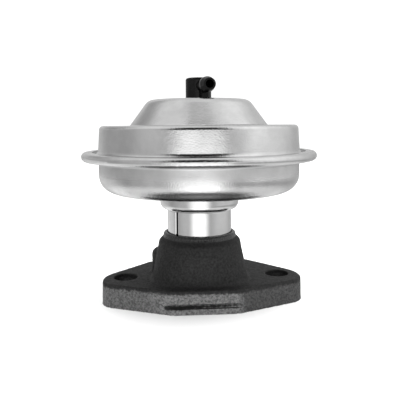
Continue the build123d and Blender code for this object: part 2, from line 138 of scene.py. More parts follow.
def within(tree: Tree, *edges: Tuple[Socket, Span]) -> Socket:
    """Finds where each of several values lies past its soft edge.

    Args:
        tree: The node tree.
        *edges: Each a value's socket, with where its edge starts and where it ends. A falling
            edge ends below its start.

    Returns:
        A socket that is one past all the edges and nothing before any of them.
    """
    share: Any = 1.0
    for value, (start, end) in edges:
        step = add_node(
            tree,
            "ShaderNodeMapRange",
            {"Value": value, "From Min": start, "From Max": end},
            interpolation_type="SMOOTHSTEP",
        )
        share = add_node(
            tree, "ShaderNodeMath", {0: share, 1: step.outputs["Result"]}, operation="MULTIPLY"
        ).outputs["Value"]
    return share


def new_material(name: str) -> Tuple[bpy.types.Material, Tree, bpy.types.Node]:
    """Makes an empty material with its shader and output joined.

    Args:
        name: The material's name.

    Returns:
        The material, its node tree and its shader node.
    """
    material = bpy.data.materials.new(name)
    material.use_nodes = True
    tree = material.node_tree
    tree.nodes.clear()
    shader = add_node(tree, "ShaderNodeBsdfPrincipled")
    add_node(tree, "ShaderNodeOutputMaterial", {"Surface": shader.outputs["BSDF"]})
    return material, tree, shader


def dress(node: bpy.types.Object, material: bpy.types.Material) -> None:
    """Gives a CAD node one material.

    Args:
        node: The node's object.
        material: The material for all its faces.
    """
    node.data.materials.clear()
    node.data.materials.append(material)
    LOG.info("%s wears %s", node.name, material.name)


def merged_copy(node: bpy.types.Object, name: str) -> bpy.types.Object:
    """Copies a CAD node as one closed mesh, its loose triangles joined.

    Args:
        node: The node's object, already dressed.
        name: The copy's name.

    Returns:
        The copy, in the scene.
    """
    mesh = node.data.copy()
    bm = bmesh.new()
    bm.from_mesh(mesh)
    bmesh.ops.remove_doubles(bm, verts=bm.verts, dist=SAME_POINT)
    bm.to_mesh(mesh)
    bm.free()
    piece = bpy.data.objects.new(name, mesh)
    bpy.context.scene.collection.objects.link(piece)
    return piece


# ---------------------------------------------------------------- finishes
@dataclass(frozen=True)
class Tones:
    """Two colours that a noise runs between.

    Attributes:
        low: Colour where the noise is low.
        high: Colour where the noise is high.
        span: The noise values where the change starts and ends.
    """

    low: str
    high: str
    span: Span

    def colour(self, tree: Tree, noise: Socket) -> Socket:
        """Turns a noise into the colours between the two.

        Args:
            tree: The material's node tree.
            noise: The noise's socket.

        Returns:
            The colour's socket.
        """
        start, end = self.span
        share = add_node(
            tree, "ShaderNodeMapRange", {"Value": noise, "From Min": start, "From Max": end}
        )
        mixed = add_node(
            tree,
            "ShaderNodeMix",
            {
                MIX_SHARE: share.outputs["Result"],
                MIX_UNDER: linear(self.low),
                MIX_OVER: linear(self.high),
            },
            data_type="RGBA",
        )
        return mixed.outputs[MIX_RESULT]


@dataclass(frozen=True)
class Scoring:
    """A band of a drawn wall that the die has scored, so that it shines less.

    Attributes:
        bottom: Height where the band starts, in metres.
        top: Height where it ends, in metres.
        bottom_fade: How far it fades, each way, at its bottom, in metres.
        top_fade: How far it fades, each way, at its top, in metres.
        roughness: How much rougher the band is.
    """

    bottom: float
    top: float
    bottom_fade: float = mm(1.5)
    top_fade: float = mm(0.3)
    roughness: float = 0.24

    def roughened(self, tree: Tree, height: Socket, rough: Socket) -> Socket:
        """Adds the band to a roughness.

        Args:
            tree: The material's node tree.
            height: The socket of the height over the mounting face.
            rough: The roughness elsewhere.

        Returns:
            The roughness's socket.
        """
        share = within(
            tree,
            (height, (self.bottom - self.bottom_fade, self.bottom + self.bottom_fade)),
            (height, (self.top + self.top_fade, self.top - self.top_fade)),
        )
        return add_node(
            tree,
            "ShaderNodeMath",
            {0: share, 1: self.roughness, 2: rough},
            operation="MULTIPLY_ADD",
        ).outputs["Value"]


@dataclass(frozen=True)
class Steel:
    """Pressed, drawn, rolled, turned or ground steel, mostly with a thin bright plating.

    Its making leaves fine marks round the axis, which stretch the reflections along the height.
    The plating is slightly cloudy, and its fine satin blurs them. The marks and the satin are
    finer than a tenth of a millimetre on the real thing, too fine to show, so they are drawn at
    the spacings below.

    Attributes:
        name: The material's name.
        colour: Colour of the clean metal.
        dull: Colour of its cloudier patches.
        roughness: Roughness of the clean metal.
        haze: How much rougher the cloudy patches are.
        mark_spacing: Spacing of the fine marks, in metres.
        mark_depth: Height of the fine marks, in metres.
        mark_turn: How fast the marks change round the axis, in noise cells to the radian.
        profile_lean: How far the radius counts against the height along the profile.
        cloud: Size of the cloudy patches, in metres.
        cloud_span: The noise values where a patch ends and where the metal is clean.
        wave: Depth of the sheet's slow unevenness, in metres.
        wave_length: Size of that unevenness, in metres.
        satin: Depth of the plating's satin texture, in metres.
        satin_grain: Size of that texture, in metres.
        scoring: The band that the die has scored, if there is one.
    """

    name: str
    colour: str = "D2D2D0"
    dull: str = "BEBEBC"
    roughness: float = 0.26
    haze: float = 0.1
    mark_spacing: float = mm(0.5)
    mark_depth: float = mm(0.004)
    mark_turn: float = 5.0
    profile_lean: float = -0.5
    cloud: float = mm(9.0)
    cloud_span: Span = (0.32, 0.66)
    wave: float = mm(0.02)
    wave_length: float = mm(14.0)
    satin: float = 0.0
    satin_grain: float = mm(0.5)
    scoring: Optional[Scoring] = None

    def material(self) -> bpy.types.Material:
        """Builds the material.

        Returns:
            The material.
        """
        material, tree, shader = new_material(self.name)
        point = add_node(tree, "ShaderNodeTexCoord").outputs["Object"]
        parts = add_node(tree, "ShaderNodeSeparateXYZ", {"Vector": point})
        around = self._along_marks(tree, parts)
        marks, clouds, slow = (
            add_node(tree, "ShaderNodeTexNoise", {"Vector": place, **kind}).outputs[0]
            for place, kind in (
                (around, {"Scale": 1.0, "Detail": 3.0, "Roughness": 0.6}),
                (point, {"Scale": 1.0 / self.cloud, "Detail": 4.0, "Roughness": 0.55}),
                (point, {"Scale": 1.0 / self.wave_length, "Detail": 1.0}),
            )
        )
        colour = Tones(self.dull, self.colour, self.cloud_span).colour(tree, clouds)
        tree.links.new(colour, shader.inputs["Base Color"])
        both = add_node(tree, "ShaderNodeMath", {0: marks, 1: clouds}).outputs["Value"]
        mean = add_node(tree, "ShaderNodeMath", {0: both, 1: 0.5}, operation="MULTIPLY")
        rough = add_node(
            tree,
            "ShaderNodeMapRange",
            {
                "Value": mean.outputs["Value"],
                "To Min": self.roughness + self.haze,
                "To Max": self.roughness,
                **NOISE_SPAN,
            },
        ).outputs["Result"]
        if self.scoring is not None:
            rough = self.scoring.roughened(tree, parts.outputs["Z"], rough)
        tree.links.new(rough, shader.inputs["Roughness"])
        shader.inputs["Metallic"].default_value = 1.0
        reliefs = [(slow, self.wave), (marks, self.mark_depth)]
        if self.satin:
            fine = add_node(
                tree,
                "ShaderNodeTexNoise",
                {
                    "Vector": point,
                    "Scale": 1.0 / self.satin_grain,
                    "Detail": 2.0,
                    "Roughness": 0.6,
                },
            ).outputs[0]
            reliefs.append((fine, self.satin))
        below: Dict[str, Socket] = {}
        for height, depth in reliefs:
            bump = add_node(
                tree,
                "ShaderNodeBump",
                {"Strength": 1.0, "Distance": depth, "Height": height, **below},
            )
            below = {"Normal": bump.outputs["Normal"]}
        tree.links.new(below["Normal"], shader.inputs["Normal"])
        return material

    def _along_marks(self, tree: Tree, parts: bpy.types.Node) -> Socket:
        """Turns a point into noise coordinates that are stretched round the axis.

        The marks change quickly along the profile and slowly round the axis. The place along
        the profile is height less half the radius, which changes on every wall, cone and flat.

        Args:
            tree: The material's node tree.
            parts: The separated object coordinates.

        Returns:
            The stretched coordinates.
        """
        level = add_node(
            tree, "ShaderNodeCombineXYZ", {"X": parts.outputs["X"], "Y": parts.outputs["Y"]}
        ).outputs["Vector"]
        radius = add_node(tree, "ShaderNodeVectorMath", {0: level}, operation="LENGTH")
        way = add_node(tree, "ShaderNodeVectorMath", {0: level}, operation="NORMALIZE")
        run = add_node(
            tree,
            "ShaderNodeMath",
            {0: radius.outputs["Value"], 1: self.profile_lean, 2: parts.outputs["Z"]},
            operation="MULTIPLY_ADD",
        )
        spun = add_node(
            tree,
            "ShaderNodeVectorMath",
            {0: way.outputs["Vector"], "Scale": self.mark_turn},
            operation="SCALE",
        )
        risen = add_node(
            tree,
            "ShaderNodeMath",
            {0: run.outputs["Value"], 1: 1.0 / self.mark_spacing},
            operation="MULTIPLY",
        )
        lifted = add_node(tree, "ShaderNodeCombineXYZ", {"Z": risen.outputs["Value"]})
        return add_node(
            tree,
            "ShaderNodeVectorMath",
            {0: spun.outputs["Vector"], 1: lifted.outputs["Vector"]},
        ).outputs["Vector"]


@dataclass(frozen=True)
class PaintedSideLight:
    """Painted light on a cast flange: its upright sides, below a ragged line, are painted lighter,
    as painted light from the front-left.

    Attributes:
        line: Height of the line, in metres.
        line_fade: How far the painted light fades, each way, at the line, in metres.
        line_wander: How far the line wanders, each way, in metres.
        patch: Size of the wandering and of the patches where the painted light is weaker,
            in metres.
        patch_share: How much painted light the weakest patch of a side keeps.
        upright: How far a face's normal points up where a side begins, and where it is upright.
        painted_side_shade: For the right and the left side, where along X painted shade begins
            and where it is full, in metres, and how much of the painted light it takes away, so
            that the right side is painted darker than the left.
    """

    line: float = mm(7.3)
    line_fade: float = mm(0.5)
    line_wander: float = mm(0.5)
    patch: float = mm(2.2)
    patch_share: float = 0.75
    upright: Span = (0.85, 0.5)
    # painted shade: the right side is painted darker than the left
    painted_side_shade: Tuple[Tuple[Span, float], ...] = (
        ((mm(12.0), mm(16.0)), 0.72),
        ((mm(-12.0), mm(-24.0)), 0.36),
    )

    def share(self, tree: Tree, point: Socket, parts: bpy.types.Node) -> Socket:
        """Finds how much painted light each place gets.

        Args:
            tree: The material's node tree.
            point: The object coordinates.
            parts: The same, separated.

        Returns:
            A socket from nothing, no painted light, to one, full painted light.
        """
        patches = add_node(
            tree,
            "ShaderNodeTexNoise",
            {"Vector": point, "Scale": 1.0 / self.patch, "Detail": 4.0, "Roughness": 0.7},
        ).outputs[0]
        ragged, thin = (
            add_node(
                tree,
                "ShaderNodeMapRange",
                {"Value": patches, "To Min": low, "To Max": high, **NOISE_SPAN},
            ).outputs["Result"]
            for low, high in ((-self.line_wander, self.line_wander), (self.patch_share, 1.0))
        )
        height = add_node(tree, "ShaderNodeMath", {0: parts.outputs["Z"], 1: ragged})
        normal = add_node(tree, "ShaderNodeNewGeometry").outputs["True Normal"]
        up = add_node(tree, "ShaderNodeSeparateXYZ", {"Vector": normal}).outputs["Z"]
        level = add_node(tree, "ShaderNodeMath", {0: up}, operation="ABSOLUTE")
        # clean is the share of painted light that a side keeps, and stays the painted shade that
        # takes it away, more on the right side than on the left
        clean: Any = 1.0
        for edge, stays in self.painted_side_shade:
            side = within(tree, (parts.outputs["X"], edge))
            clean = add_node(
                tree, "ShaderNodeMath", {0: side, 1: -stays, 2: clean}, operation="MULTIPLY_ADD"
            ).outputs["Value"]
        share = within(
            tree,
            (height.outputs["Value"], (self.line + self.line_fade, self.line - self.line_fade)),
            (level.outputs["Value"], self.upright),
        )
        for factor in (clean, thin):
            share = add_node(
                tree, "ShaderNodeMath", {0: share, 1: factor}, operation="MULTIPLY"
            ).outputs["Value"]
        return share


@dataclass(frozen=True)
class BoltHoles:
    """The walls of the two bolt holes, which are painted dark as painted shade.

    Attributes:
        middle: Middle between the holes, along X, in metres.
        reach: Each hole's distance from that middle, in metres.
        edge: Distances from a hole's axis where its wall begins and where it is full, in metres.
        depth: Heights where the wall begins, under the top face, and where it is full, in metres.
    """

    middle: float = mm(0.8)
    reach: float = mm(30.0)
    edge: Span = (mm(4.75), mm(4.5))
    depth: Span = (mm(8.8), mm(8.5))

    def share(self, tree: Tree, parts: bpy.types.Node) -> Socket:
        """Finds the walls.

        Args:
            tree: The material's node tree.
            parts: The separated object coordinates.

        Returns:
            A socket that is one on the walls.
        """
        away = parts.outputs["X"]
        for operation, inputs in (
            ("SUBTRACT", {1: self.middle}),
            ("ABSOLUTE", {}),
            ("SUBTRACT", {1: self.reach}),
        ):
            away = add_node(
                tree, "ShaderNodeMath", {0: away, **inputs}, operation=operation
            ).outputs["Value"]
        level = add_node(tree, "ShaderNodeCombineXYZ", {"X": away, "Y": parts.outputs["Y"]})
        radius = add_node(
            tree, "ShaderNodeVectorMath", {0: level.outputs["Vector"]}, operation="LENGTH"
        )
        return within(
            tree, (radius.outputs["Value"], self.edge), (parts.outputs["Z"], self.depth)
        )


@dataclass(frozen=True)
class Groove:
    """The shallow groove across the front flat, painted dark as painted shade; it leans and thins
    out to the right.

    Attributes:
        height: Height of its middle on the valve's axis, in metres.
        lean: How far it rises for each length to the right.
        edge: Distances from its middle where it begins and where it is full, in metres.
        taper: How much narrower it is for each length to the right.
        fray: Size of its frayed edge's bites, in metres.
        bite: Depth of the bites, each way, in metres.
        front: Places along Y where the front flat begins and where it is full, in metres.
        ends: Distances along X where the groove begins and where it is full, in metres.
    """

    height: float = mm(2.73)
    lean: float = 0.015
    edge: Span = (mm(0.85), mm(0.15))
    taper: float = 0.022
    fray: float = mm(1.4)
    bite: float = mm(0.3)
    front: Span = (mm(-18.6), mm(-18.9))
    ends: Span = (mm(16.5), mm(13.5))

    def share(self, tree: Tree, point: Socket, parts: bpy.types.Node) -> Socket:
        """Finds the groove.

        Args:
            tree: The material's node tree.
            point: The object coordinates.
            parts: The same, separated.

        Returns:
            A socket that is one in the groove.
        """
        across, front, height = (parts.outputs[axis] for axis in "XYZ")
        frayed = add_node(
            tree,
            "ShaderNodeTexNoise",
            {"Vector": point, "Scale": 1.0 / self.fray, "Detail": 3.0, "Roughness": 0.7},
        ).outputs[0]
        wander = add_node(
            tree,
            "ShaderNodeMapRange",
            {"Value": frayed, "To Min": -self.bite, "To Max": self.bite, **NOISE_SPAN},
        ).outputs["Result"]
        away = across
        for operation, inputs in (
            ("MULTIPLY_ADD", {1: -self.lean, 2: -self.height}),
            ("ADD", {1: height}),
            ("ABSOLUTE", {}),
            ("ADD", {1: wander}),
        ):
            away = add_node(
                tree, "ShaderNodeMath", {0: away, **inputs}, operation=operation
            ).outputs["Value"]
        thinned = add_node(
            tree, "ShaderNodeMath", {0: across, 1: self.taper, 2: away}, operation="MULTIPLY_ADD"
        ).outputs["Value"]
        aside = add_node(tree, "ShaderNodeMath", {0: across}, operation="ABSOLUTE").outputs["Value"]
        return within(tree, (thinned, self.edge), (front, self.front), (aside, self.ends))


@dataclass(frozen=True)
class SandCastIron:
    """Grey iron as it leaves the sand, shot blasted and dipped in a dark rust-proofing oil.

    The oil keeps the casting nearly black. The flange's upright sides are painted lighter, with a
    lighter grain, as painted light from the front-left, and the bolt holes and the groove are
    painted nearly black as painted shade. The crest's ring is rubbed smoother and painted lighter,
    partly for its wear and partly as a painted highlight. Moulding sand is about 0.3 mm
    coarse, too fine to show, so its grain is drawn at the size of grit.

    Attributes:
        name: The material's name.
        oiled: Colours of the oiled skin, from the grain's hollows to its tops.
        lit_sides: Colours of the upright sides, painted lighter as painted light, from the
        grain's hollows to its tops.
        painted_recess_shade: Colour of the painted shade in the bolt holes and the groove.
        rubbed_and_highlit: Colour of the crest's ring, lighter partly for its wear and partly as
        a painted highlight.
        roughness: Roughness of the grain's tops.
        hollow_roughness: How much rougher the hollows are.
        polish: How much smoother the crest's ring is.
        specular: Strength of its reflections, where 0.5 is the plain value.
        grit: Size of the sand's grains, in metres.
        relief: Depth of the finest grain, in metres.
        pit_rate: How many pits there are to a grain, along a line.
        pit_depth: Depth of the pits against that of the grain.
        crest: Heights where the crest's ring starts and where it is full, in metres.
        painted_side_light: Where the upright sides are painted lighter as painted light.
        holes: The bolt holes, painted dark as painted shade.
        groove: The groove across the front, painted dark as painted shade.
    """

    name: str = "grey_iron_as_cast"
    oiled: Tones = Tones("0F0F0F", "202020", (0.36, 0.66))
    # the upright sides' lighter colours are painted light
    lit_sides: Tones = Tones("4C4C4C", "828282", (0.36, 0.64))
    # painted shade in the bolt holes and the groove
    painted_recess_shade: str = "070707"
    # the crest ring is lighter partly for wear and partly as a painted highlight
    rubbed_and_highlit: str = "222222"
    roughness: float = 0.6
    hollow_roughness: float = 0.2
    polish: float = 0.42
    specular: float = 0.42
    grit: float = mm(0.75)
    relief: float = mm(0.07)
    pit_rate: float = 0.8
    pit_depth: float = 0.4
    crest: Span = (mm(24.3), mm(24.8))
    painted_side_light: PaintedSideLight = PaintedSideLight()
    holes: BoltHoles = BoltHoles()
    groove: Groove = Groove()

    def material(self) -> bpy.types.Material:
        """Builds the material.

        Returns:
            The material.
        """
        material, tree, shader = new_material(self.name)
        point = add_node(tree, "ShaderNodeTexCoord").outputs["Object"]
        parts = add_node(tree, "ShaderNodeSeparateXYZ", {"Vector": point})
        grain = add_node(
            tree,
            "ShaderNodeTexNoise",
            {"Vector": point, "Scale": 1.0 / self.grit, "Detail": 3.0, "Roughness": 0.7},
        ).outputs[0]
        pits = add_node(
            tree, "ShaderNodeTexVoronoi", {"Vector": point, "Scale": self.pit_rate / self.grit}
        ).outputs["Distance"]
        crest = within(tree, (parts.outputs["Z"], self.crest))
        colour = self.oiled.colour(tree, grain)
        # painted light on the upright sides, a painted highlight over the crest ring's wear, and
        # painted shade in the bolt holes and the groove
        for share, over in (
            (self.painted_side_light.share(tree, point, parts), self.lit_sides.colour(tree, grain)),
            (crest, linear(self.rubbed_and_highlit)),
            (self.holes.share(tree, parts), linear(self.painted_recess_shade)),
            (self.groove.share(tree, point, parts), linear(self.painted_recess_shade)),
        ):
            colour = add_node(
                tree,
                "ShaderNodeMix",
                {MIX_SHARE: share, MIX_UNDER: colour, MIX_OVER: over},
                data_type="RGBA",
            ).outputs[MIX_RESULT]
        tree.links.new(colour, shader.inputs["Base Color"])
        rough = add_node(
            tree,
            "ShaderNodeMapRange",
            {
                "Value": grain,
                "To Min": self.roughness + self.hollow_roughness,
                "To Max": self.roughness,
                **NOISE_SPAN,
            },
        ).outputs["Result"]
        rubbed_and_highlit = add_node(
            tree,
            "ShaderNodeMath",
            {0: crest, 1: -self.polish, 2: rough},
            operation="MULTIPLY_ADD",
        ).outputs["Value"]
        tree.links.new(rubbed_and_highlit, shader.inputs["Roughness"])
        shader.inputs["Specular IOR Level"].default_value = self.specular
        pitted = add_node(
            tree, "ShaderNodeMath", {0: pits, 1: self.pit_depth, 2: grain}, operation="MULTIPLY_ADD"
        ).outputs["Value"]
        bump = add_node(
            tree, "ShaderNodeBump", {"Strength": 1.0, "Distance": self.relief, "Height": pitted}
        )
        tree.links.new(bump.outputs["Normal"], shader.inputs["Normal"])
        return material


@dataclass(frozen=True)
class MouldedPart:
    """A moulded or pressed part that isn't steel: nylon, rubber, graphite or sintered bronze.

    Attributes:
        name: The material's name.
        colour: Colour of the clean surface.
        worn: Colour where it is scuffed or dusty.
        roughness: Roughness of the clean surface.
        scuffed: How much rougher the scuffs are.
        scuff: Size of the scuffs, in metres.
        scuff_span: The noise values where a scuff begins and where it is full.
        grain: Size of the surface grain, in metres.
        relief: Depth of the grain, in metres.
        ior: Index of refraction.
        specular: Strength of its reflections, where 0.5 is the plain value.
    """

    name: str
    colour: str
    worn: str
    roughness: float = 0.4
    scuffed: float = 0.12
    scuff: float = mm(3.0)
    scuff_span: Span = (0.5, 0.8)
    grain: float = mm(0.35)
    relief: float = mm(0.006)
    ior: float = 1.53
    specular: float = 0.5

    def material(self) -> bpy.types.Material:
        """Builds the material.

        Returns:
            The material.
        """
        material, tree, shader = new_material(self.name)
        point = add_node(tree, "ShaderNodeTexCoord").outputs["Object"]
        grain, scuffs = (
            add_node(tree, "ShaderNodeTexNoise", {"Vector": point, **kind}).outputs[0]
            for kind in (
                {"Scale": 1.0 / self.grain, "Detail": 3.0},
                {"Scale": 1.0 / self.scuff, "Detail": 5.0, "Roughness": 0.7},
            )
        )
        rough = add_node(
            tree,
            "ShaderNodeMapRange",
            {
                "Value": scuffs,
                "To Min": self.roughness,
                "To Max": self.roughness + self.scuffed,
                **NOISE_SPAN,
            },
        ).outputs["Result"]
        bump = add_node(
            tree, "ShaderNodeBump", {"Strength": 1.0, "Distance": self.relief, "Height": grain}
        ).outputs["Normal"]
        colour = Tones(self.colour, self.worn, self.scuff_span).colour(tree, scuffs)
        for name, source in (("Base Color", colour), ("Roughness", rough), ("Normal", bump)):
            tree.links.new(source, shader.inputs[name])
        shader.inputs["IOR"].default_value = self.ior
        shader.inputs["Specular IOR Level"].default_value = self.specular
        return material


# ---------------------------------------------------------------- made pieces
@dataclass(frozen=True)
class SandSkin:
    """The lumpy skin that moulding sand leaves on a casting.

    The lumps are pressed inwards, so that the skin stays inside the machined sizes.

    Attributes:
        voxel: Mesh spacing of the skin, in metres.
        grain: Size of the sand's lumps, in metres.
        relief: Depth of the lumps, in metres.
        wander: Depth of the casting's slow unevenness, in metres.
        wander_size: Size of that unevenness, in lumps.
        seed: Fixed seed of the pattern.
        machined: Height over the mounting face up to which the skin stays flat, in metres.
    """

    voxel: float = mm(0.42)
    grain: float = mm(1.3)
    relief: float = mm(0.24)
    wander: float = mm(0.16)
    wander_size: float = 7.0
    seed: float = 7.0
    machined: float = mm(0.5)

    def cover(self, node: bpy.types.Object, material: bpy.types.Material) -> bpy.types.Object:
        """Makes the skinned copy of a cast node.

        Args:
            node: The CAD node of the casting.
            material: The skin's material.

        Returns:
            The new piece, a plain mesh with its place in its vertices.
        """
        raw = merged_copy(node, "cast_blank")
        even = raw.modifiers.new("even_mesh", "REMESH")
        even.mode = "VOXEL"
        even.voxel_size = self.voxel
        sand = raw.modifiers.new("sand", "NODES")
        sand.node_group = self._tree()
        sizes = {
            "Grain": self.grain,
            "Relief": self.relief,
            "Wander": self.wander,
            "Wander Size": self.wander_size,
            "Seed": self.seed,
            "Machined": self.machined,
            "Finish": material,
        }
        for item in sand.node_group.interface.items_tree:
            if item.name in sizes:
                sand[item.identifier] = sizes[item.name]
        evaluated = raw.evaluated_get(bpy.context.evaluated_depsgraph_get())
        made = bpy.data.meshes.new_from_object(evaluated)
        made.name = node.name + "_skin"
        piece = bpy.data.objects.new(node.name + "_skin", made)
        bpy.context.scene.collection.objects.link(piece)
        bpy.data.objects.remove(raw, do_unlink=True)
        LOG.info("%s has %d faces", piece.name, len(made.polygons))
        return piece

    def _tree(self) -> Tree:
        """Builds the node tree that presses the lumps in along the surface's normals.

        Returns:
            The tree, with an input for each size.
        """
        tree = bpy.data.node_groups.new("sand_cast_skin", "GeometryNodeTree")
        for name, way, kind in (
            ("Casting", "INPUT", "Geometry"),
            ("Grain", "INPUT", "Float"),
            ("Relief", "INPUT", "Float"),
            ("Wander", "INPUT", "Float"),
            ("Wander Size", "INPUT", "Float"),
            ("Seed", "INPUT", "Float"),
            ("Machined", "INPUT", "Float"),
            ("Finish", "INPUT", "Material"),
            ("Skin", "OUTPUT", "Geometry"),
        ):
            tree.interface.new_socket(name, in_out=way, socket_type="NodeSocket" + kind)
        given = add_node(tree, "NodeGroupInput").outputs
        place = add_node(tree, "GeometryNodeInputPosition").outputs["Position"]
        facing = add_node(tree, "GeometryNodeInputNormal").outputs["Normal"]
        deep: Any = 0.0
        for times, depth in ((1.0, given["Relief"]), (given["Wander Size"], given["Wander"])):
            size = add_node(
                tree, "ShaderNodeMath", {0: given["Grain"], 1: times}, operation="MULTIPLY"
            ).outputs["Value"]
            rate = add_node(tree, "ShaderNodeMath", {0: 1.0, 1: size}, operation="DIVIDE")
            noise = add_node(
                tree,
                "ShaderNodeTexNoise",
                {
                    "Vector": place,
                    "W": given["Seed"],
                    "Scale": rate.outputs["Value"],
                    "Detail": 2.0,
                    "Roughness": 0.6,
                },
                noise_dimensions="4D",
            ).outputs[0]
            deep = add_node(
                tree, "ShaderNodeMath", {0: noise, 1: depth, 2: deep}, operation="MULTIPLY_ADD"
            ).outputs["Value"]
        height = add_node(tree, "ShaderNodeSeparateXYZ", {"Vector": place}).outputs["Z"]
        free = add_node(
            tree, "ShaderNodeMapRange", {"Value": height, "From Max": given["Machined"]}
        ).outputs["Result"]
        inward = deep
        for factor in (free, -1.0):
            inward = add_node(
                tree, "ShaderNodeMath", {0: inward, 1: factor}, operation="MULTIPLY"
            ).outputs["Value"]
        push = add_node(
            tree, "ShaderNodeVectorMath", {0: facing, "Scale": inward}, operation="SCALE"
        ).outputs["Vector"]
        # nothing sinks under the mounting face
        above = add_node(
            tree, "ShaderNodeVectorMath", {0: place, 1: (-1.0, -1.0, 0.0)}, operation="MAXIMUM"
        ).outputs["Vector"]
        skin = given["Casting"]
        for kind, inputs in (
            ("GeometryNodeSetPosition", {"Offset": push}),
            ("GeometryNodeSetPosition", {"Position": above}),
            ("GeometryNodeSetShadeSmooth", {}),
            ("GeometryNodeRealizeInstances", {}),
            ("GeometryNodeSetMaterial", {"Material": given["Finish"]}),
        ):
            skin = add_node(tree, kind, {"Geometry": skin, **inputs}).outputs["Geometry"]
        add_node(tree, "NodeGroupOutput", {"Skin": skin})
        return tree


@dataclass(frozen=True)
class FlexingPart:
    """A piece of the housing, copied as one closed mesh on the housing body.

    Attributes:
        node: The CAD node that it stands for.
        slot: The node's material slot in the record.
        fixed_z: Height of the end that stays where it is, in metres.
        moved_z: Height, with the valve closed, of the end that moves with the valve, in metres.
    """

    node: str
    slot: str
    fixed_z: float
    moved_z: float

    def build(self, node: bpy.types.Object, lift: float) -> None:
        """Replaces the dressed node by a joined copy on the housing body.

        Args:
            node: The CAD node's object.
            lift: The valve's full lift, in metres; not used.
        """
        piece = merged_copy(node, self.node + "_flexing")
        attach(piece, Body.HOUSING.value)
        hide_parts(self.node)
        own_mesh(piece)


# ---------------------------------------------------------------- sub-assemblies
@dataclass
class BaseCasting:
    """The cast-iron base with its sand skin and its hardened seat."""

    # grey iron, sand cast and oiled: nearly black and grainy, its upright sides painted lighter as
    # painted light
    iron: SandCastIron = SandCastIron()
    skin: SandSkin = SandSkin()
    # hardened steel ring, ground after pressing in: grey, with a tight broken shine
    seat: Steel = Steel(
        "ground_seat_steel", colour="A8A6A2", dull="8E8C88", roughness=0.34, mark_spacing=mm(0.2)
    )

    def build(self, nodes: Nodes) -> None:
        """Puts the sand skin over the base and dresses the seat.

        Args:
            nodes: The CAD nodes by name.
        """
        iron = self.iron.material()
        dress(nodes["base_casting"], iron)
        piece = self.skin.cover(nodes["base_casting"], iron)
        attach(piece, Body.HOUSING.value)
        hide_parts("base_casting")
        dress(nodes["valve_seat"], self.seat.material())


@dataclass
class StemGuide:
    """The standoff, bushing, packing and heat shield that guide the stem."""

    # free-cutting steel, turned: tool marks round it break up a soft grey shine
    turned: Steel = Steel(
        "turned_free_cutting_steel",
        colour="ACACAA",
        dull="969694",
        roughness=0.36,
        mark_spacing=mm(0.25),
        mark_depth=mm(0.006),
    )
    # uncoated pressed sheet: grey, even and rather dull
    sheet: Steel = Steel("plain_pressed_sheet", colour="B4B2AE", dull="9C9A95", roughness=0.38)
    # sintered bronze, porous and full of oil: brown and matt, with hardly any shine
    bushing: MouldedPart = MouldedPart(
        "sintered_bronze", "8A6A42", "6E5434", roughness=0.55, grain=mm(0.15), relief=mm(0.02)
    )
    # pressed graphite rings: dark grey with a soft, greasy gloss
    packing: MouldedPart = MouldedPart("graphite_packing", "3A3A3E", "4A4A4E", roughness=0.6)

    def build(self, nodes: Nodes) -> None:
        """Dresses the guide's nodes.

        Args:
            nodes: The CAD nodes by name.
        """
        for finish, names in (
            (self.turned, ("stem_carrier", "packing_retainer")),
            (self.sheet, ("gas_deflector", "backing_washer")),
            (self.bushing, ("stem_bushing",)),
            (self.packing, ("stem_packing",)),
        ):
            material = finish.material()
            for name in names:
                dress(nodes[name], material)


@dataclass
class Neck:
    """The bright rolled sleeve and the drawn collar between base and housing."""

    # bright strip, cold rolled and bent round: clear, hardly broken mirror bands down its height
    sleeve: Steel = Steel(
        "bright_rolled_strip",
        colour="DCDCDC",
        dull="D0D0D0",
        roughness=0.13,
        haze=0.05,
        mark_spacing=mm(0.35),
        mark_depth=mm(0.001),
        wave=mm(0.006),
    )
    # the same sheet, deep drawn: as bright, its bands a little softer and more uneven
    collar: Steel = Steel(
        "bright_drawn_collar",
        colour="D6D6D6",
        dull="C8C8C8",
        roughness=0.16,
        haze=0.06,
        mark_spacing=mm(0.35),
        mark_depth=mm(0.001),
        wave=mm(0.008),
    )

    def build(self, nodes: Nodes) -> None:
        """Dresses the neck's nodes.

        Args:
            nodes: The CAD nodes by name.
        """
        dress(nodes["neck_sleeve"], self.sleeve.material())
        dress(nodes["standoff_collar"], self.collar.material())


